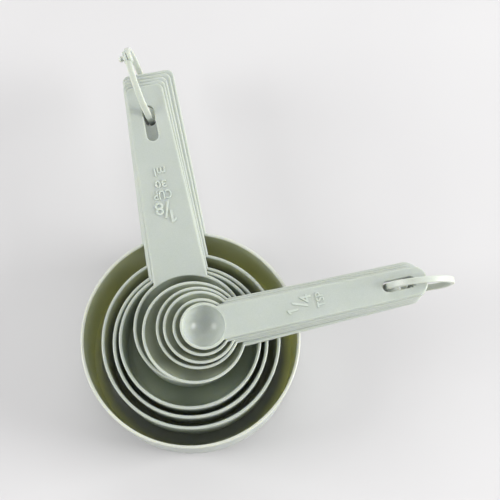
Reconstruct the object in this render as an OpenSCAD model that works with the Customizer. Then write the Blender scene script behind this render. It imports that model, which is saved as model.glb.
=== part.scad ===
// Nesting measuring set: five cups and five spoons in one stack, each stack
// strung on a snap ring through slots near the ends of the handles.
// Millimetres. Origin: centre of the largest cup's base, on the table.
// +Y runs along the largest cup's handle, +Z is up, the spoons point to +X.

/* [Cups] */
// Outer radius of the largest cup at its rim
cup_rim_r = 48; // [47:0.5:50]
// Wall and floor thickness of the cups
cup_wall = 1.4; // [1.2:0.1:1.4]
// Draft of the cup walls, degrees off upright
cup_draft = 3; // [2:0.5:4]
// Radius of the rounded foot corner of the largest cup
cup_foot_r = 6; // [4:0.5:8]
// Step in height from one cup handle to the next
cup_pitch = 3; // [3:0.1:3.4]

/* [Cup handles] */
// Width of the largest cup's handle where it leaves the bowl
cup_handle_w = 28; // [26:0.5:30]
// Width of the largest cup's handle at its end
cup_handle_end_w = 23.2; // [22:0.2:24]
// Height of a cup handle with its edge flange
cup_handle_h = 2.7; // [2.3:0.1:2.7]
// Thickness of the handle's top plate
cup_plate = 1.5; // [1.2:0.1:1.8]
// Thickness of the edge flange
cup_flange = 1.4; // [1.2:0.1:1.8]
// Radius of the corners at the handle's end
cup_corner_r = 3; // [2:0.5:5]
// Length of the ring slot in a cup handle
cup_slot_l = 16.6; // [16:0.2:18]
// Width of the ring slot in a cup handle
cup_slot_w = 5; // [4.8:0.1:5.6]
// Distance from the handle's end to its slot
cup_slot_end = 9.6; // [9:0.1:10]
// Yaw of the smallest cup's handle from the largest one's, degrees
cup_fan = 1.6; // [1.4:0.1:1.8]

/* [Spoons] */
// Outer radius of the largest spoon at its rim
spoon_rim_r = 22.15; // [21.8:0.05:22.3]
// Wall thickness of the spoons
spoon_wall = 1.25; // [1.1:0.05:1.3]
// Step in height from one spoon handle to the next
spoon_pitch = 2.3; // [2.3:0.1:2.8]
// Height of the largest spoon's rim above the smallest cup's rim
spoon_seat = 11; // [10.8:0.1:14]
// Downward tilt of the spoon stack toward its handles, degrees
spoon_tilt = 4; // [2:0.5:5]

/* [Spoon handles] */
// Width of the largest spoon's handle where it leaves the bowl
spoon_handle_w = 21.4; // [20:0.2:22]
// Width of the largest spoon's handle at its end
spoon_handle_end_w = 18.4; // [18:0.2:19.4]
// Height of a spoon handle with its edge flange
spoon_handle_h = 2; // [1.8:0.1:2]
// Thickness of the spoon handle's top plate
spoon_plate = 1.2; // [1:0.1:1.4]
// Thickness of the spoon handle's edge flange
spoon_flange = 1.2; // [1:0.1:1.5]
// Radius of the corners at the spoon handle's end
spoon_corner_r = 5.4; // [4:0.2:5.8]
// Length of the ring slot in a spoon handle
spoon_slot_l = 14.5; // [14:0.1:15]
// Width of the ring slot in a spoon handle
spoon_slot_w = 4.9; // [4.7:0.1:5.2]
// Distance from the spoon handle's end to its slot
spoon_slot_end = 5.1; // [4.6:0.1:5.4]

/* [Rings] */
// Middle radius of the cup ring
cup_ring_r = 17.7; // [17.4:0.1:18]
// Middle radius of the spoon ring
spoon_ring_r = 14.4; // [14:0.1:14.8]
// Thickness of a ring's strap along its radius
strap_t = 2; // [1.6:0.1:2.2]
// Width of a ring's strap along its axis
strap_w = 2.7; // [2.4:0.1:2.8]
// Radius of the two pads of the snap clasp
clasp_r = 2.9; // [2.7:0.1:3.2]
// Radius of the clasp's stud
stud_r = 1.1; // [0.9:0.1:1.2]

/* [Hidden] */
$fn = 96;

plastic = [0.78, 0.84, 0.78];
ring_plastic = [0.82, 0.86, 0.80];

// marked volumes, millilitres
cup_ml = [240, 120, 80, 60, 30];
spoon_ml = [15, 7.5, 5, 2.5, 1.25];

// rim radii
cup_share = [1, 0.81, 0.702, 0.64, 0.504];
spoon_share = [1, 0.806, 0.709, 0.56, 0.456];
cup_r = [for (s = cup_share) cup_rim_r * s];
spoon_r = [for (s = spoon_share) spoon_rim_r * s];

// centres of the cups on the table plane, as they lie in one another
cup_at = [[0, 0], [0.1, -1.3], [-0.1, -2.2], [-0.1, -1.6], [0.5, 2.8]];
// how far round each handle lies in the fan
cup_turn = [0, 0.25, 0.5, 0.625, 1];
// the larger cups' slots are a little longer and wider, the fourth cup's starts
// further out
cup_slot_more = [[1.2, 0.5], [0.3, 0.2], [0, 0], [-5.6, 0], [0, 0]];
// distance from a cup's centre to the end of its handle
cup_end = [124.6, 123.3, 121.6, 118.5, 111.6];

// inside depth of a cup that holds v to the rim, by Newton's steps on the
// volume of a cone frustum with rim radius a and draft slope s
function cone_v(a, s, h) = PI * h * (3 * a * a - 3 * a * s * h + s * s * h * h) / 3;
function cone_depth(v, a, s, h, n) = n == 0 ? h :
    cone_depth(v, a, s, h - (cone_v(a, s, h) - v) / (PI * pow(a - s * h, 2)), n - 1);
// inside depth of a spoon that holds v to the rim, on the volume of a
// spherical cap with rim radius a
function cap_v(a, h) = PI * h * (3 * a * a + h * h) / 6;
function cap_depth(v, a, h, n) = n == 0 ? h :
    cap_depth(v, a, h - (cap_v(a, h) - v) / (PI * (a * a + h * h) / 2), n - 1);

// the small extra depth makes up for the rounded foot corner
cup_depth = [for (k = [0:4])
    cone_depth(cup_ml[k] * 1000, cup_r[k] - cup_wall, tan(cup_draft), 30, 12) + 0.5 * cup_share[k]];
spoon_depth = [for (k = [0:4])
    cap_depth(spoon_ml[k] * 1000, spoon_r[k] - spoon_wall, 10, 12)];

rim_z = cup_depth[0] + cup_wall;
spoon_base = [2.2, -1.9, rim_z + 4 * cup_pitch + spoon_seat];
spoon_yaw = 3.5;
// centres of the spoons in the spoon stack's own plane
spoon_at = [[0, 0], [1.75, 1.1], [2.5, 0.7], [3.1, 0.1], [3.75, -0.1]];
spoon_fan = [1, 0.1, 0, 0, 0];
// ends of the spoon handles along the stack
spoon_end = [99.5, 99.9, 100.2, 100.6, 100.9];

// the rings: centre, yaw and lean of the plane, and place of the clasp round it
cup_ring_at = [-3.75, 116.4, rim_z + 2 * cup_pitch - cup_handle_h / 2];
cup_ring_yaw = 98.2;
cup_ring_lean = 8.8;
cup_ring_clasp = 55;
spoon_ring_at = [97.8, -1.02, 2 * spoon_pitch - spoon_handle_h / 2];
spoon_ring_yaw = -6.7;
spoon_ring_lean = -5;
spoon_ring_clasp = -100;

// Arcs meet straight edges at this small angle instead of exactly tangent, so
// that every crossing is a clean one. A 3 mm corner stands out by 0.02 mm.
cross = 6;

// outline of a handle along +X: straight tapered sides, round end corners
module handle_outline(x0, x1, w0, w1, rc) {
    d = atan((w0 - w1) / 2 / (x1 - x0));
    yc = w1 / 2 + rc * tan(d) - rc / cos(d);
    xc = x1 - rc;
    ty = yc + rc * cos(d);
    tx = xc + rc * sin(d);
    polygon([[x0, -w0 / 2], [tx, -ty], [xc, -yc], [x1, -yc],
             [x1, yc], [xc, yc], [tx, ty], [x0, w0 / 2]]);
    for (s = [-1, 1]) translate([xc, s * yc]) circle(rc / cos(cross));
}

// oblong slot along +X
module slot_outline(x0, x1, w) {
    translate([x0 + w / 2, -w / 2]) square([x1 - x0 - w, w]);
    for (x = [x0 + w / 2, x1 - w / 2]) translate([x, 0]) circle(w / 2 / cos(cross));
}

// flat handle with a flange under its edge and a slot; its top is z = 0
module handle(x0, x1, w0, w1, rc, h, plate, flange, slot_end, slot_l, slot_w, clear_x) {
    difference() {
        translate([0, 0, -h]) linear_extrude(h) handle_outline(x0, x1, w0, w1, rc);
        translate([0, 0, -h - 1]) linear_extrude(h + 1 - plate)
            handle_outline(clear_x, x1 - flange,
                w0 + (w1 - w0) * (clear_x - x0) / (x1 - x0) - 2 * flange,
                w1 - 2 * flange, rc - flange);
        translate([0, 0, -h - 1]) linear_extrude(h + 2)
            slot_outline(x1 - slot_end - slot_l, x1 - slot_end, slot_w);
    }
    // collar around the slot, as deep as the flange
    translate([0, 0, -h]) linear_extrude(h) difference() {
        slot_outline(x1 - slot_end - slot_l - flange, x1 - slot_end + flange, slot_w + 2 * flange);
        slot_outline(x1 - slot_end - slot_l, x1 - slot_end, slot_w);
    }
}

// half section of a round tub: rim radius r at z = 0, foot at z = -h, with the
// draft of the cups and a foot corner of radius f
module tub_section(r, h, f, above) {
    s = tan(cup_draft);
    rb = r - h * s;
    g = f * cos(cross);
    t = g / tan((90 + cup_draft) / 2);
    polygon([[0, -h], [rb - t, -h], [rb - t, g - h],
             [rb + t * sin(cup_draft), t * cos(cup_draft) - h],
             [r, 0], [r, above], [0, above]]);
    intersection() {
        translate([rb - t, g - h]) circle(f);
        polygon([[rb - t - f / 2, -h], [rb, -h], [rb + s * f * 2, f * 2 - h], [rb - t - f / 2, f * 2 - h]]);
    }
}

// one cup, its rim at z = 0 and its handle along +X
module cup_shape(k) {
    r = cup_r[k];
    h = cup_depth[k] + cup_wall;
    f = cup_foot_r * cup_share[k];
    difference() {
        union() {
            rotate_extrude() tub_section(r, h, f, 0);
            handle(r * 0.8, cup_end[k],
                cup_handle_w - 1.35 * k + 1.2, cup_handle_end_w - 1.65 * k, cup_corner_r,
                cup_handle_h, cup_plate, cup_flange,
                cup_slot_end, cup_slot_l + cup_slot_more[k][0], cup_slot_w + cup_slot_more[k][1], r + 1);
        }
        rotate_extrude() tub_section(r - cup_wall, cup_depth[k], f - cup_wall, 5);
    }
}

// one spoon, its rim at z = 0 and its handle along +X
module spoon_shape(k) {
    r = spoon_r[k];
    a = r - spoon_wall;
    d = spoon_depth[k];
    rho = (a * a + d * d) / (2 * d);
    difference() {
        union() {
            rotate_extrude() intersection() {
                translate([0, rho - d]) circle(rho + spoon_wall);
                translate([0, -60]) square([60, 60]);
            }
            handle(r * 0.7, spoon_end[k] - spoon_at[k][0],
                spoon_handle_w - 1.7 * k, spoon_handle_end_w - 1.45 * k, spoon_corner_r,
                spoon_handle_h, spoon_plate, spoon_flange,
                spoon_slot_end, spoon_slot_l, spoon_slot_w + (k == 0 ? 0.3 : 0), r + 1);
        }
        rotate_extrude() intersection() {
            translate([0, rho - d]) circle(rho);
            translate([0, -60]) square([60, 61]);
        }
    }
}

module cup(k) {
    color(plastic)
        translate([cup_at[k][0], cup_at[k][1], rim_z + k * cup_pitch])
            rotate([0, 0, 90 + cup_fan * cup_turn[k]]) cup_shape(k);
}

// places children in the tilted plane of the spoon stack
module in_spoon_stack() {
    translate(spoon_base) rotate([0, 0, spoon_yaw]) rotate([0, spoon_tilt, 0]) children();
}

module spoon(k) {
    color(plastic)
        in_spoon_stack() translate([spoon_at[k][0], spoon_at[k][1], k * spoon_pitch])
            rotate([0, 0, spoon_fan[k]]) spoon_shape(k);
}

// sector of the clasp's end of a strap, from the clasp to the angle a
module strap_sector(r, a, z0, z1) {
    translate([0, 0, z0]) linear_extrude(z1 - z0)
        polygon([[r - 4, 0], [r + 4, 0], [(r + 4) * cos(a), (r + 4) * sin(a)],
                 [(r - 4) * cos(a), (r - 4) * sin(a)]]);
}

// snap ring about +Z, its clasp on +X: the strap's two ends lap side by side,
// and a headed stud on one end goes through a hole in the other
module snap_ring(r) {
    lap = 0.15;
    end = asin((clasp_r + 1.2) / r);
    pad = 0.7 * strap_w;
    difference() {
        union() {
            difference() {
                rotate_extrude() translate([r - strap_t / 2, -strap_w / 2]) square([strap_t, strap_w]);
                strap_sector(r, end, 0, strap_w);
                strap_sector(r, -end, -strap_w, 0);
            }
            translate([r, 0, -pad]) cylinder(h = 2 * pad, r = clasp_r);
        }
        translate([r - clasp_r - 2, -clasp_r - 0.6, -lap])
            cube([2 * clasp_r + 4, 2 * clasp_r + 1.2, 2 * lap]);
        translate([r, 0, -pad - 1]) cylinder(h = pad + 1, r = stud_r + 0.35);
    }
    translate([r, 0, -pad - 1.9]) cylinder(h = pad + 2.9, r = stud_r);
    translate([r, 0, -pad - 2.1]) cylinder(h = 1.1, r1 = stud_r - 0.3, r2 = stud_r + 0.55);
}

module one_cup() { cup(0); }
module half_cup() { cup(1); }
module third_cup() { cup(2); }
module quarter_cup() { cup(3); }
module eighth_cup() { cup(4); }
module tablespoon() { spoon(0); }
module half_tablespoon() { spoon(1); }
module teaspoon() { spoon(2); }
module half_teaspoon() { spoon(3); }
module quarter_teaspoon() { spoon(4); }

module cup_ring() {
    color(ring_plastic)
        translate(cup_ring_at) rotate([0, 0, cup_ring_yaw]) rotate([90 - cup_ring_lean, 0, 0])
            rotate([0, 0, cup_ring_clasp]) snap_ring(cup_ring_r);
}

module spoon_ring() {
    color(ring_plastic)
        in_spoon_stack() translate(spoon_ring_at) rotate([0, 0, spoon_ring_yaw])
            rotate([90 - spoon_ring_lean, 0, 0]) rotate([0, 0, spoon_ring_clasp])
                snap_ring(spoon_ring_r);
}

one_cup();
half_cup();
third_cup();
quarter_cup();
eighth_cup();
tablespoon();
half_tablespoon();
teaspoon();
half_teaspoon();
quarter_teaspoon();
cup_ring();
spoon_ring();
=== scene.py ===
"""Looks of a nesting measuring cup and spoon set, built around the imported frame.

Every piece is made in mesh code with the frame's own dimensions (millimetres
here, metres in the scene) and stands for one node of the frame.
"""

import math

import bmesh
import bpy
from mathutils import Matrix, Vector
from mathutils.geometry import tessellate_polygon


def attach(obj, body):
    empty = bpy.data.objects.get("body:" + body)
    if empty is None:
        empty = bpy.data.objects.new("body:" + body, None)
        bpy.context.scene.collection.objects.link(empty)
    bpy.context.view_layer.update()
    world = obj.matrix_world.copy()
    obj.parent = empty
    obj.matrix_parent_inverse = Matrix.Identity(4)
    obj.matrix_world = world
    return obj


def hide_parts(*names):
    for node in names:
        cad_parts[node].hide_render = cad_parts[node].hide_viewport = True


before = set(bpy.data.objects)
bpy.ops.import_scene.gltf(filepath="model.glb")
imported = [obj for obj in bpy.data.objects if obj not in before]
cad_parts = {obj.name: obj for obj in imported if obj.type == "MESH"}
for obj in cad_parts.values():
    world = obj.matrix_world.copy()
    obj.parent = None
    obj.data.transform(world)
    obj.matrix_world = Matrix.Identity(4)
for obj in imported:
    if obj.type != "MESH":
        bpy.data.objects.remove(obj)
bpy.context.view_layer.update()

MM = 0.001

# --------------------------------------------------------------------------
# dimensions, the same as the frame's
# --------------------------------------------------------------------------
CUPS = ["one_cup", "half_cup", "third_cup", "quarter_cup", "eighth_cup"]
SPOONS = ["tablespoon", "half_tablespoon", "teaspoon", "half_teaspoon", "quarter_teaspoon"]
CUP_ML = [240, 120, 80, 60, 30]
SPOON_ML = [15, 7.5, 5, 2.5, 1.25]
CUP_SHARE = [1, 0.81, 0.702, 0.64, 0.504]
SPOON_SHARE = [1, 0.806, 0.709, 0.56, 0.456]
CUP_WALL, SPOON_WALL = 1.4, 1.25
DRAFT = math.radians(3)
CUP_PITCH, SPOON_PITCH = 3.0, 2.3
CUP_AT = [(0, 0), (0.1, -1.3), (-0.1, -2.2), (-0.1, -1.6), (0.5, 2.8)]
CUP_TURN = [0, 0.25, 0.5, 0.625, 1]
CUP_FAN = 1.6
CUP_END = [124.6, 123.3, 121.6, 118.5, 111.6]
CUP_SLOT_MORE = [(1.2, 0.5), (0.3, 0.2), (0, 0), (-5.6, 0), (0, 0)]
SPOON_AT = [(0, 0), (1.75, 1.1), (2.5, 0.7), (3.1, 0.1), (3.75, -0.1)]
SPOON_FAN = [1, 0.1, 0, 0, 0]
SPOON_END = [99.5, 99.9, 100.2, 100.6, 100.9]
CUP_R = [48 * s for s in CUP_SHARE]
SPOON_R = [22.15 * s for s in SPOON_SHARE]


def cone_depth(v, a):
    s, h = math.tan(DRAFT), 30.0
    for _ in range(12):
        vol = math.pi * h * (3 * a * a - 3 * a * s * h + s * s * h * h) / 3
        h -= (vol - v) / (math.pi * (a - s * h) ** 2)
    return h


def cap_depth(v, a):
    h = 10.0
    for _ in range(12):
        vol = math.pi * h * (3 * a * a + h * h) / 6
        h -= (vol - v) / (math.pi * (a * a + h * h) / 2)
    return h


CUP_DEPTH = [cone_depth(CUP_ML[k] * 1000, CUP_R[k] - CUP_WALL) + 0.5 * CUP_SHARE[k] for k in range(5)]
SPOON_DEPTH = [cap_depth(SPOON_ML[k] * 1000, SPOON_R[k] - SPOON_WALL) for k in range(5)]
RIM_Z = CUP_DEPTH[0] + CUP_WALL


def rot(deg, axis):
    return Matrix.Rotation(math.radians(deg), 4, axis)


def move(x, y, z):
    return Matrix.Translation((x, y, z))


STACK = move(2.2, -1.9, RIM_Z + 4 * CUP_PITCH + 11) @ rot(3.5, "Z") @ rot(4, "Y")


def cup_place(k):
    return move(CUP_AT[k][0], CUP_AT[k][1], RIM_Z + k * CUP_PITCH) @ rot(90 + CUP_FAN * CUP_TURN[k], "Z")


def spoon_place(k):
    return STACK @ move(SPOON_AT[k][0], SPOON_AT[k][1], k * SPOON_PITCH) @ rot(SPOON_FAN[k], "Z")


CUP_RING = move(-3.75, 116.4, RIM_Z + 2 * CUP_PITCH - 1.35) @ rot(98.2, "Z") @ rot(81.2, "X") @ rot(55, "Z")
SPOON_RING = (STACK @ move(97.8, -1.02, 2 * SPOON_PITCH - 1.0) @ rot(-6.7, "Z") @ rot(95, "X")
              @ rot(-100, "Z"))


# --------------------------------------------------------------------------
# mesh helpers
# --------------------------------------------------------------------------
def new_object(name, verts, faces, place=None):
    """Object with a closed mesh, still in millimetres."""
    me = bpy.data.meshes.new(name)
    pts = [Vector(v) for v in verts]
    if place is not None:
        pts = [place @ p for p in pts]
    me.from_pydata(pts, [], faces)
    bm = bmesh.new()
    bm.from_mesh(me)
    bmesh.ops.remove_doubles(bm, verts=bm.verts, dist=1e-4)
    bmesh.ops.recalc_face_normals(bm, faces=bm.faces)
    bm.to_mesh(me)
    bm.free()
    ob = bpy.data.objects.new(name, me)
    bpy.context.scene.collection.objects.link(ob)
    return ob


def arc(cx, cy, r, a0, a1, n):
    return [(cx + r * math.cos(math.radians(a0 + (a1 - a0) * i / n)),
             cy + r * math.sin(math.radians(a0 + (a1 - a0) * i / n))) for i in range(n + 1)]


def round_corner(p0, p1, p2, r, n=5):
    """Arc of radius r that takes the place of the corner p1 between p0 and p2."""
    a, b, c = Vector(p0), Vector(p1), Vector(p2)
    u, v = (a - b).normalized(), (c - b).normalized()
    half = u.angle(v) / 2
    t = min(r / math.tan(half), 0.49 * (a - b).length, 0.49 * (c - b).length)
    r = t * math.tan(half)
    mid = b + (u + v).normalized() * (r / math.sin(half))
    s, e = b + u * t - mid, b + v * t - mid
    total = s.angle_signed(e)
    out = []
    for i in range(n + 1):
        q = s.copy()
        q.rotate(Matrix.Rotation(-total * i / n, 2))
        out.append((mid.x + q.x, mid.y + q.y))
    return out


def lathe(profile, seg, closed=False):
    """Turns (r, z) points about Z. The ends of an open profile lie on the axis."""
    verts, rings, faces = [], [], []
    for r, z in profile:
        if r < 1e-6:
            rings.append([len(verts)])
            verts.append((0, 0, z))
        else:
            rings.append(list(range(len(verts), len(verts) + seg)))
            verts += [(r * math.cos(2 * math.pi * i / seg), r * math.sin(2 * math.pi * i / seg), z)
                      for i in range(seg)]
    pairs = list(zip(rings[:-1], rings[1:]))
    if closed:
        pairs.append((rings[-1], rings[0]))
    for a, b in pairs:
        for i in range(seg):
            j = (i + 1) % seg
            if len(a) == 1:
                faces.append((a[0], b[j], b[i]))
            elif len(b) == 1:
                faces.append((a[i], a[j], b[0]))
            else:
                faces.append((a[i], a[j], b[j], b[i]))
    return verts, faces


def union(base, *others):
    for o in others:
        mod = base.modifiers.new("join", "BOOLEAN")
        mod.operation, mod.object, mod.solver = "UNION", o, "MANIFOLD"
    bpy.context.view_layer.update()
    dg = bpy.context.evaluated_depsgraph_get()
    me = bpy.data.meshes.new_from_object(base.evaluated_get(dg))
    base.modifiers.clear()
    old = base.data
    base.data = me
    bpy.data.meshes.remove(old)
    for o in others:
        data = o.data
        bpy.data.objects.remove(o)
        bpy.data.meshes.remove(data)
    return base


def finish_mesh(ob, name, place):
    """Puts a finished mesh in its place, in metres, and smooths it."""
    ob.name = ob.data.name = name
    ob.data.transform(Matrix.Scale(MM, 4) @ place)
    for p in ob.data.polygons:
        p.use_smooth = True
    ob.data.set_sharp_from_angle(angle=math.radians(38))
    mod = ob.modifiers.new("even_normals", "WEIGHTED_NORMAL")
    mod.mode, mod.weight, mod.keep_sharp = "FACE_AREA", 80, True
    return ob


# --------------------------------------------------------------------------
# bowls
# --------------------------------------------------------------------------
def cup_profile(k):
    r, w = CUP_R[k], CUP_WALL
    d = CUP_DEPTH[k]
    h = d + w
    fo = 6 * CUP_SHARE[k]
    fi = fo - w
    s = math.tan(DRAFT)
    half = math.tan(math.radians(93) / 2)
    pts = [(0, -d)]
    rbi = r - w - d * s
    ti = fi / half
    pts += [(x * (rbi - ti), -d) for x in (0.25, 0.5, 0.75, 0.94)]
    pts += arc(rbi - ti, fi - d, fi, -90, -3, 10)
    z1 = pts[-1][1]
    pts += [(r - w + s * z, z) for z in (z1 * 0.66, z1 * 0.33)]
    pts += round_corner((r - w - 4 * s, -4), (r - w, 0), (r, 0), 0.5)
    pts += round_corner((r - w, 0), (r, 0), (r - 4 * s, -4), 0.5)
    rbo = r - h * s
    to = fo / half
    z1 = fo * (1 - math.sin(math.radians(3))) - h
    pts += [(r + s * z, z) for z in (z1 * 0.33, z1 * 0.66)]
    pts += arc(rbo - to, fo - h, fo, -3, -90, 10)
    pts += [(x * (rbo - to), -h) for x in (0.94, 0.7, 0.4)]
    # moulding gate under the base: a shallow dish with a nub
    pts += [(3.3, -h), (3.1, -h + 0.06), (2.8, -h + 0.3), (1.2, -h + 0.32), (1.05, -h + 0.25),
            (0.95, -h + 0.1), (0.7, -h + 0.06), (0, -h + 0.05)]
    return pts


def spoon_profile(k):
    w, d = SPOON_WALL, SPOON_DEPTH[k]
    a = SPOON_R[k] - w
    rho = (a * a + d * d) / (2 * d)
    cz = rho - d
    ro = rho + w
    pts = [(0, -d)]
    end_in = math.degrees(math.asin(-cz / rho))
    inner = arc(0, cz, rho, -90, end_in, 22)
    pts += inner[1:-1]
    end_out = math.degrees(math.asin(-cz / ro))
    outer = arc(0, cz, ro, end_out, -90, 22)
    pts += round_corner(inner[-2], inner[-1], outer[0], 0.42)
    pts += round_corner(inner[-1], outer[0], outer[1], 0.42)
    pts += outer[1:-1]
    pts += [(0, cz - ro)]
    return pts


# --------------------------------------------------------------------------
# handles
# --------------------------------------------------------------------------
def handle_loop(g, off):
    """Outline of a handle, moved inward by off. Its inner end lies in the bowl's wall."""
    x0, x1, w0, w1 = g["x0"], g["x1"], g["w0"], g["w1"]
    rc = max(g["rc"] - off, 0.15)
    dlt = math.atan((w0 - w1) / 2 / (x1 - x0))
    xe = x1 - off

    def hw(x):
        return w0 / 2 + (w1 - w0) / 2 * (x - x0) / (x1 - x0) - off / math.cos(dlt)

    w_end = hw(xe)
    yc = w_end + rc * math.tan(dlt) - rc / math.cos(dlt)
    xc = xe - rc
    ri = g["ri"]
    x_in = ri
    for _ in range(8):
        x_in = math.sqrt(max(ri * ri - hw(x_in) ** 2, 1.0))
    dd = math.degrees(dlt)
    pts = []
    ns = g.get("ns", 24)
    tx, ty = xc + rc * math.sin(dlt), yc + rc * math.cos(dlt)
    pts += [(x_in + (tx - x_in) * i / ns, -(hw(x_in) + (ty - hw(x_in)) * i / ns)) for i in range(ns)]
    pts += arc(xc, -yc, rc, -90 + dd, 0, 10)
    pts += [(xe, -yc + 2 * yc * i / 6) for i in range(1, 6)]
    pts += arc(xc, yc, rc, 0, 90 - dd, 10)
    pts += [(tx + (x_in - tx) * i / ns, ty + (hw(x_in) - ty) * i / ns) for i in range(1, ns + 1)]
    p0 = math.degrees(math.asin(hw(x_in) / ri))
    pts += arc(0, 0, ri, p0, -p0, 14)[1:-1]
    return pts


def slot_loop(g, out):
    s0, s1, w = g["s0"], g["s1"], g["sw"] / 2 + out
    half = g["sw"] / 2
    pts = arc(s1 - half, 0, w, -90, 90, 16)
    n = 8
    pts += [(s1 - half + (s0 + half - s1 + half) * i / n, w) for i in range(1, n)]
    pts += arc(s0 + half, 0, w, 90, 270, 16)
    pts += [(s0 + half + (s1 - half - s0 - half) * i / n, -w) for i in range(1, n)]
    return pts


def sweep(verts, faces, loops):
    """Joins closed loops of equal length, each a list of 3-D points, and returns their index rows."""
    rows = []
    for lp in loops:
        rows.append(list(range(len(verts), len(verts) + len(lp))))
        verts += lp
    for a, b in zip(rows[:-1], rows[1:]):
        n = len(a)
        for i in range(n):
            j = (i + 1) % n
            faces.append((a[i], a[j], b[j], b[i]))
    return rows


def fill(verts, faces, outer, hole):
    idx = outer + hole
    for t in tessellate_polygon([[Vector(verts[i]) for i in outer], [Vector(verts[i]) for i in hole]]):
        faces.append(tuple(idx[i] for i in t))


def quarter(n=6):
    return [math.radians(90 * i / n) for i in range(n + 1)]


def handle_mesh(g):
    """Plate with rounded edges, a flange under its edge and a collared slot; its top is z = g['top']."""
    verts, faces = [], []
    top, h, plate, fl = g["top"], g["h"], g["plate"], g["fl"]
    e, es, e2, fi = g["edge"], g["slot_edge"], 0.3, 0.45

    def at(loop, z):
        return [(x, y, z) for x, y in loop]

    rows = []
    loops = [at(handle_loop(g, e + 0.6), top), at(handle_loop(g, e + 0.02), top)]
    for a in quarter()[1:]:
        loops.append(at(handle_loop(g, e * (1 - math.sin(a))), top - e * (1 - math.cos(a))))
    loops.append(at(handle_loop(g, 0), -h + e2))
    for a in quarter(4)[1:]:
        loops.append(at(handle_loop(g, e2 * (1 - math.cos(a))), -h + e2 * (1 - math.sin(a))))
    for a in quarter(4):
        loops.append(at(handle_loop(g, fl - e2 * (1 - math.sin(a))), -h + e2 * (1 - math.cos(a))))
    for a in quarter(4):
        loops.append(at(handle_loop(g, fl + fi * (1 - math.cos(a))), -plate - fi * (1 - math.sin(a))))
    out_rows = sweep(verts, faces, loops)
    loops = [at(slot_loop(g, es + 0.4), top), at(slot_loop(g, es + 0.02), top)]
    for a in quarter()[1:]:
        loops.append(at(slot_loop(g, es * (1 - math.sin(a))), top - es * (1 - math.cos(a))))
    loops.append(at(slot_loop(g, 0), -h + e2))
    for a in quarter(4)[1:]:
        loops.append(at(slot_loop(g, e2 * (1 - math.cos(a))), -h + e2 * (1 - math.sin(a))))
    for a in quarter(4):
        loops.append(at(slot_loop(g, fl - e2 * (1 - math.sin(a))), -h + e2 * (1 - math.cos(a))))
    for a in quarter(4):
        loops.append(at(slot_loop(g, fl + fi * (1 - math.cos(a))), -plate - fi * (1 - math.sin(a))))
    in_rows = sweep(verts, faces, loops)
    fill(verts, faces, out_rows[0], in_rows[0])
    fill(verts, faces, out_rows[-1], in_rows[-1])
    return verts, faces


def cup_handle(k):
    end = CUP_END[k]
    more = CUP_SLOT_MORE[k]
    s1 = end - 9.6
    return dict(x0=CUP_R[k] * 0.8, x1=end, w0=29.2 - 1.35 * k, w1=23.2 - 1.65 * k, rc=3.0,
                ri=CUP_R[k] - 0.75, h=2.7, plate=1.5, fl=1.4, edge=0.85, slot_edge=0.55, top=-0.02,
                s0=s1 - 16.6 - more[0], s1=s1, sw=5 + more[1])


def spoon_handle(k):
    end = SPOON_END[k] - SPOON_AT[k][0]
    s1 = end - 5.1
    return dict(x0=SPOON_R[k] * 0.7, x1=end, w0=21.4 - 1.7 * k, w1=18.4 - 1.45 * k, rc=5.4,
                ri=SPOON_R[k] - SPOON_WALL + 0.55, h=2.0, plate=1.2, fl=1.2, edge=0.75, slot_edge=0.5, top=-0.02,
                s0=s1 - 14.5, s1=s1, sw=4.9 + (0.3 if k == 0 else 0))


def make_vessel(name, profile, g, place, seg, marks=()):
    bowl = new_object(name + "_bowl", *lathe(profile, seg))
    grip = new_object(name + "_grip", *handle_mesh(g))
    raised = [raised_mark(f"{name}_mark_{i}", *m) for i, m in enumerate(marks)]
    whole = union(bowl, grip, *raised)
    kind = []    # 0 inside of the bowl, 1 outside and handle, 2 rim, 3 raised marks
    rim = max(r for r, z in profile)
    for p in whole.data.polygons:
        c, n = p.center, p.normal
        if marks and c.z > 0.02:
            kind.append(3)
        elif c.xy.length > rim + 0.02 or (c.x > 0 and abs(c.y) < g["w0"] / 2 - 0.3 and c.z > -0.3):
            kind.append(1)
        elif c.z > -0.5:
            kind.append(2)
        else:
            kind.append(0 if n.z > 0.3 or n.xy.dot(c.xy) < -0.05 * c.xy.length else 1)
    return finish_mesh(whole, name + "_moulded", place), kind


# --------------------------------------------------------------------------
# rings
# --------------------------------------------------------------------------
def rounded_rect(x0, x1, y0, y1, r, n=4):
    return (arc(x1 - r, y0 + r, r, -90, 0, n) + arc(x1 - r, y1 - r, r, 0, 90, n)
            + arc(x0 + r, y1 - r, r, 90, 180, n) + arc(x0 + r, y0 + r, r, 180, 270, n))


def smooth(t):
    t = max(0.0, min(1.0, t))
    return t * t * (3 - 2 * t)


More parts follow.
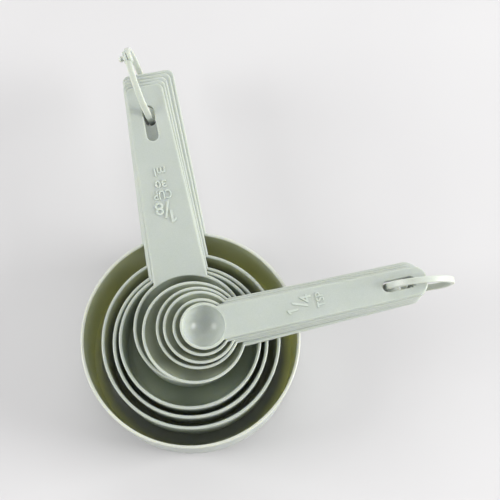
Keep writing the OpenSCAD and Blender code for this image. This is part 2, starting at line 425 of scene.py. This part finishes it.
def make_ring(name, r, place):
    """Flat strap about local Z, its two ends lapped side by side in a snap clasp on local X."""
    t, w, lap, cr, sr = 2.0, 2.7, 0.15, 2.9, 1.1
    pad = 0.7 * w
    end = math.degrees(math.asin((cr + 1.2) / r))
    run = 360 - 2 * 3.0
    n = 150
    verts, faces, loops = [], [], []
    for i in range(n + 1):
        a = 3.0 + run * i / n
        near, far = smooth((a - end) / 4 + 1), smooth((360 - a - end) / 4 + 1)
        z0 = -w / 2 if a < 180 else lap + (-w / 2 - lap) * far
        z1 = w / 2 if a > 180 else -lap + (w / 2 + lap) * near
        sec = rounded_rect(r - t / 2, r + t / 2, z0, z1, 0.42)
        ca, sa = math.cos(math.radians(a)), math.sin(math.radians(a))
        loops.append([(x * ca, x * sa, z) for x, z in sec])
    rows = sweep(verts, faces, loops)
    faces.append(tuple(reversed(rows[0])))
    faces.append(tuple(rows[-1]))
    strap = new_object(name + "_strap", verts, faces)
    hole = sr + 0.35
    wash = (round_corner((hole, -lap), (hole, -pad), (cr, -pad), 0.25, 3)
            + round_corner((hole, -pad), (cr, -pad), (cr, -lap), 0.6, 5)
            + round_corner((cr, -pad), (cr, -lap), (hole, -lap), 0.2, 3)
            + round_corner((cr, -lap), (hole, -lap), (hole, -pad), 0.2, 3))
    washer = new_object(name + "_eye", *lathe(wash, 56, closed=True), move(r, 0, 0))
    tip = -pad - 2.1
    stud = ([(0, pad)] + [(x, pad) for x in (1.0, 2.0)]
            + round_corner((0, pad), (cr, pad), (cr, lap), 0.6, 5)
            + round_corner((cr, pad), (cr, lap), (sr, lap), 0.2, 3)
            + [(sr + 0.25, lap), (sr + 0.07, lap - 0.07), (sr, lap - 0.25), (sr, -pad - 0.92)]
            + round_corner((sr, -pad - 0.98), (sr + 0.55, -pad - 1.0), (sr - 0.3, tip), 0.15, 3)
            + round_corner((sr + 0.5, -pad - 1.2), (sr - 0.3, tip), (0, tip), 0.25, 4) + [(0, tip)])
    button = new_object(name + "_stud", *lathe(stud, 56), move(r, 0, 0))
    whole = finish_mesh(union(strap, washer, button), name + "_strap_and_clasp", place)
    return whole, [0] * len(whole.data.polygons)


# --------------------------------------------------------------------------
# raised volume marks
# --------------------------------------------------------------------------
ONE = [(0.6, 0), (1, 0), (1, 1), (0.72, 1), (0, 0.8), (0, 0.66), (0.6, 0.8)]    # a plain 1: stem and flag


def raised_mark(name, text, tall, wide, x, y, height=0.42):
    """Generic numerals and units, raised from a handle's top. Their tops point at the bowl.
    tall and wide are the mark's own size along and across its reading line."""
    if text == "1":
        cu = bpy.data.curves.new(name, "CURVE")
        cu.dimensions, cu.fill_mode = "2D", "BOTH"
        line = cu.splines.new("POLY")
        line.points.add(len(ONE) - 1)
        for p, (u, v) in zip(line.points, ONE):
            p.co = (u * wide, v * tall, 0, 1)
        line.use_cyclic_u = True
    else:
        cu = bpy.data.curves.new(name, "FONT")
        cu.body = text
        cu.size = tall * 1.4
    cu.extrude = (height + 0.5) / 2
    cu.bevel_depth = 0.09
    cu.bevel_resolution = 2
    cu.offset = 0.0
    cu.resolution_u = 6
    ob = bpy.data.objects.new(name, cu)
    bpy.context.scene.collection.objects.link(ob)
    bpy.context.view_layer.update()
    dg = bpy.context.evaluated_depsgraph_get()
    me = bpy.data.meshes.new_from_object(ob.evaluated_get(dg))
    bpy.data.objects.remove(ob)
    bpy.data.curves.remove(cu)
    lo = [min(v.co[i] for v in me.vertices) for i in range(3)]
    hi = [max(v.co[i] for v in me.vertices) for i in range(3)]
    fit = Matrix.Diagonal((wide / (hi[0] - lo[0]), tall / (hi[1] - lo[1]), 1, 1))
    centre = move(-(lo[0] + hi[0]) / 2, -(lo[1] + hi[1]) / 2, -hi[2])
    me.transform(move(x, y, height) @ rot(90, "Z") @ fit @ centre)
    bm = bmesh.new()
    bm.from_mesh(me)
    bmesh.ops.remove_doubles(bm, verts=bm.verts, dist=1e-3)
    bmesh.ops.recalc_face_normals(bm, faces=bm.faces)
    bm.to_mesh(me)
    bm.free()
    ob = bpy.data.objects.new(name, me)
    bpy.context.scene.collection.objects.link(ob)
    return ob


# --------------------------------------------------------------------------
# materials
# --------------------------------------------------------------------------
def nodes_of(name):
    mat = bpy.data.materials.new(name)
    mat.use_nodes = True
    nt = mat.node_tree
    nt.nodes.clear()
    out = nt.nodes.new("ShaderNodeOutputMaterial")
    bsdf = nt.nodes.new("ShaderNodeBsdfPrincipled")
    nt.links.new(bsdf.outputs[0], out.inputs[0])
    return mat, nt, bsdf


def noise(nt, vec, scale, detail=3.0, rough=0.55):
    n = nt.nodes.new("ShaderNodeTexNoise")
    n.inputs["Scale"].default_value = scale
    n.inputs["Detail"].default_value = detail
    n.inputs["Roughness"].default_value = rough
    nt.links.new(vec, n.inputs["Vector"])
    return n.outputs["Fac"]


def ramp(nt, fac, stops):
    r = nt.nodes.new("ShaderNodeValToRGB")
    els = r.color_ramp.elements
    while len(els) < len(stops):
        els.new(0.5)
    for el, (p, c) in zip(els, stops):
        el.position = p
        el.color = (*c, 1) if len(c) == 3 else c
    nt.links.new(fac, r.inputs["Fac"])
    return r.outputs["Color"]


def mix_rgb(nt, fac, a, b, mode="MIX"):
    m = nt.nodes.new("ShaderNodeMix")
    m.data_type, m.blend_type = "RGBA", mode
    for sock, val in ((m.inputs["Factor"], fac), (m.inputs["A"], a), (m.inputs["B"], b)):
        if hasattr(val, "is_output"):
            nt.links.new(val, sock)
        else:
            sock.default_value = val if isinstance(val, float) else (*val, 1)
    return m.outputs["Result"]


def plastic(name, light, dark, rough=0.19, sss=1.0, sss_mm=1.2, tint=(1.0, 0.9, 0.7), shine=0.5):
    """Moulded polypropylene: faint flow mottling, fine texture, slightly translucent."""
    mat, nt, b = nodes_of(name)
    tc = nt.nodes.new("ShaderNodeTexCoord").outputs["Object"]
    # colour: slow flow marks and a fine grain of pigment
    flow = noise(nt, tc, 45.0, 4.0, 0.6)
    col = ramp(nt, flow, [(0.3, dark), (0.7, light)])
    grain = noise(nt, tc, 2200.0, 2.0, 0.5)
    tone = ramp(nt, grain, [(0.35, (0.965, 0.965, 0.965)), (0.65, (1.02, 1.02, 1.02))])
    col = mix_rgb(nt, 1.0, col, tone, "MULTIPLY")
    nt.links.new(col, b.inputs["Base Color"])
    # gloss: moulded skin, a little duller in patches
    patch = noise(nt, tc, 160.0, 5.0, 0.65)
    gloss = ramp(nt, patch, [(0.25, (rough - 0.015,) * 3), (0.75, (rough + 0.025,) * 3)])
    nt.links.new(gloss, b.inputs["Roughness"])
    # fine moulded texture
    fine = noise(nt, tc, 3200.0, 2.0, 0.5)
    wave = noise(nt, tc, 110.0, 2.0, 0.5)
    b1 = nt.nodes.new("ShaderNodeBump")
    b1.inputs["Strength"].default_value = 0.12
    b1.inputs["Distance"].default_value = 0.00002
    nt.links.new(fine, b1.inputs["Height"])
    b2 = nt.nodes.new("ShaderNodeBump")
    b2.inputs["Strength"].default_value = 0.2
    b2.inputs["Distance"].default_value = 0.00008
    nt.links.new(wave, b2.inputs["Height"])
    nt.links.new(b1.outputs["Normal"], b2.inputs["Normal"])
    nt.links.new(b2.outputs["Normal"], b.inputs["Normal"])
    b.inputs["IOR"].default_value = 1.49
    b.inputs["Specular IOR Level"].default_value = shine
    b.inputs["Subsurface Weight"].default_value = sss
    b.inputs["Subsurface Radius"].default_value = tint
    b.inputs["Subsurface Scale"].default_value = sss_mm * MM
    return mat


def floor_material():
    mat, nt, b = nodes_of("pale_floor")
    tc = nt.nodes.new("ShaderNodeTexCoord").outputs["Object"]
    col = ramp(nt, noise(nt, tc, 6.0, 3.0, 0.5), [(0.3, (0.563, 0.556, 0.560)), (0.7, (0.590, 0.584, 0.587))])
    nt.links.new(col, b.inputs["Base Color"])
    b.inputs["Roughness"].default_value = 0.8
    b.inputs["Specular IOR Level"].default_value = 0.0
    return mat


# --------------------------------------------------------------------------
# pieces
# --------------------------------------------------------------------------
LIGHT, DARK = (0.455, 0.490, 0.452), (0.430, 0.469, 0.430)
pp = plastic("sage_plastic", LIGHT, DARK, sss_mm=1.8, tint=(1.0, 0.95, 0.65))
pp_out = plastic("sage_plastic_outside", LIGHT, DARK, rough=0.32, sss_mm=1.8, tint=(1.0, 0.95, 0.65), shine=0.28)
# inside the bowls, light that comes through the thin walls turns warmer; the two widest cups' inside colour WARM is
# also painted warmer than the plastic, a painted glow for that light
WARM, WARM_DARK = (0.468, 0.502, 0.432), (0.443, 0.478, 0.409)
pp_thin = plastic("sage_plastic_wide_bowl_painted_glow", WARM, WARM_DARK, sss_mm=4.0, tint=(1.0, 0.95, 0.62))
pp_mid = plastic("sage_plastic_middle_bowl_painted_glow", WARM, WARM_DARK, sss_mm=4.0, tint=(1.0, 0.95, 0.55))
# painted shade: the third and quarter cups' insides get a deeper, greener olive than the plastic, for the shade in the
# narrow gaps between nested cups
pp_small = plastic("sage_plastic_small_bowl_painted_shade", (0.462, 0.522, 0.415), (0.437, 0.497, 0.392), sss_mm=0.3,
                   tint=(1.0, 0.9, 0.5), shine=0.15)
# painted shade: the eighth cup's inside is coloured much darker than the plastic, for the shade under the spoon set
# above it
pp_deep_painted_shade = plastic("sage_plastic_top_cup_bowl_painted_shade", (0.370, 0.415, 0.335), (0.350, 0.395, 0.315), sss_mm=0.3,
                  tint=(1.0, 0.9, 0.5), shine=0.15)
# painted shade: the spoon bowls' insides are coloured a darker olive than the plastic, for the shade between the nested
# spoons
pp_spoon = plastic("sage_plastic_spoon_bowl_painted_shade", (0.440, 0.480, 0.372), (0.415, 0.455, 0.350), sss_mm=0.4,
                   tint=(1.0, 0.9, 0.5), shine=0.15)
# painted light: the smallest spoon's bowl is coloured lighter than the plastic, for the light it catches from above
pp_tiny = plastic("sage_plastic_smallest_bowl_painted_light", (0.49, 0.528, 0.487), (0.465, 0.503, 0.462), sss_mm=1.8,
                  tint=(1.0, 0.95, 0.65))
# painted highlight: the widest cup's rim is coloured lighter and creamier than the plastic, for the light its rounded
# top catches
pp_rim_painted_highlight = plastic("sage_plastic_wide_rim_painted_highlight", (0.56, 0.58, 0.53), (0.535, 0.555, 0.505), sss_mm=1.8, tint=(1.0, 0.95, 0.65))
# painted highlight: the raised marks are coloured lighter than the plastic, for the light their raised edges catch
pp_mark = plastic("sage_plastic_raised_painted_highlight", (0.52, 0.565, 0.518), (0.50, 0.55, 0.50), sss_mm=0.4)
pp_ring = plastic("ring_plastic", (0.52, 0.555, 0.505), (0.49, 0.53, 0.48), rough=0.3, sss_mm=2.2)
CUP_BOWL = [pp_thin, pp_mid, pp_small, pp_small, pp_deep_painted_shade]


def dress(made, mats, body, node=None):
    """Gives a piece its materials, one for each kind of face, and its place in the frame."""
    ob, kind = made
    ob.data.materials.clear()
    for m in mats:
        ob.data.materials.append(m)
    for p, i in zip(ob.data.polygons, kind):
        p.material_index = i
    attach(ob, body)
    if node:
        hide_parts(node)
    return ob


# text, height and width of each mark, and its place along and across the handle
CUP_MARKS = [("1", 5.8, 2.3, 49.8, -2.3), ("/", 7.6, 3.0, 53.1, 0.0), ("8", 5.8, 3.8, 54.0, 3.2),
             ("CUP", 4.1, 7.8, 60.1, 0.7), ("30", 3.3, 5.0, 65.1, 0.6), ("ml", 3.9, 4.9, 70.7, 0.0)]
SPOON_MARKS = [("1", 4.6, 2.0, 37.8, -2.2), ("/", 6.4, 3.2, 41.4, 0.3), ("4", 4.8, 3.6, 44.2, 2.2),
               ("TSP", 3.4, 6.6, 50.2, 0.6)]
for k, n in enumerate(CUPS):
    dress(make_vessel(n, cup_profile(k), cup_handle(k), cup_place(k), 176, CUP_MARKS if k == 4 else ()),
          [CUP_BOWL[k], pp_out, pp_rim_painted_highlight if k == 0 else pp] + [pp_mark] * (k == 4), n, n)
for k, n in enumerate(SPOONS):
    dress(make_vessel(n, spoon_profile(k), spoon_handle(k), spoon_place(k), 128, SPOON_MARKS if k == 4 else ()),
          [pp_tiny if k == 4 else pp_spoon, pp_out, pp] + [pp_mark] * (k == 4), n, n)
dress(make_ring("cup_ring", 17.7, CUP_RING), [pp_ring], "cup_ring", "cup_ring")
dress(make_ring("spoon_ring", 14.4, SPOON_RING), [pp_ring], "spoon_ring", "spoon_ring")

# --------------------------------------------------------------------------
# stage: floor, lights, camera
# --------------------------------------------------------------------------
fv = [(-4, -4, -0.00005), (4, -4, -0.00005), (4, 4, -0.00005), (-4, 4, -0.00005)]
floor = new_object("floor", fv, [(0, 1, 2, 3)])
floor.data.materials.append(floor_material())

UP = Vector((math.sin(math.radians(9.6)), math.cos(math.radians(9.6)), 0))      # image up, on the floor
RIGHT = Vector((math.cos(math.radians(9.6)), -math.sin(math.radians(9.6)), 0))  # image right
AIM = Vector((0.01, 0.03, 0.04))


def area(name, right, up, high, size, power, color=(1, 1, 1)):
    li = bpy.data.lights.new(name, "AREA")
    li.shape, li.size, li.size_y = "RECTANGLE", size[0], size[1]
    li.energy, li.color = power, color
    ob = bpy.data.objects.new(name, li)
    ob.location = AIM + RIGHT * right + UP * up + Vector((0, 0, high))
    ob.rotation_euler = (AIM - ob.location).to_track_quat("-Z", "Y").to_euler()
    bpy.context.scene.collection.objects.link(ob)
    return ob


area("softbox_left", -0.95, -0.07, 0.66, (0.5, 0.5), 5.6)
area("softbox_right", 0.98, -0.10, 0.52, (0.5, 0.5), 7.5)
area("low_left", -1.1, -0.05, 0.3, (0.45, 0.35), 3.2)
area("low_right", 1.1, -0.05, 0.3, (0.45, 0.35), 7.0)
area("ceiling", 0.0, 0.3, 1.7, (1.6, 1.6), 3.7)
area("window", 0.0, 1.0, 0.7, (0.9, 0.7), 4.4)
area("front_fill", 0.0, -1.0, 0.7, (0.9, 0.7), 0.6)

world = bpy.data.worlds.new("studio")
bpy.context.scene.world = world
world.use_nodes = True
bg = world.node_tree.nodes.get("Background") or world.node_tree.nodes.new("ShaderNodeBackground")
bg.inputs["Color"].default_value = (1.0, 1.0, 1.0, 1)
bg.inputs["Strength"].default_value = 0.5

cam = bpy.data.cameras.new("camera")
cam.sensor_width, cam.lens = 36.0, 115.2
cam.dof.use_dof = False
cam_ob = bpy.data.objects.new("camera", cam)
cam_ob.location = (0.0041, -0.1315, 0.7256)
cam_ob.rotation_euler = (math.radians(13.8), 0, math.radians(-9.6))
bpy.context.scene.collection.objects.link(cam_ob)
bpy.context.scene.camera = cam_ob
bpy.context.scene.view_settings.view_transform = "Standard"

bpy.context.view_layer.update()
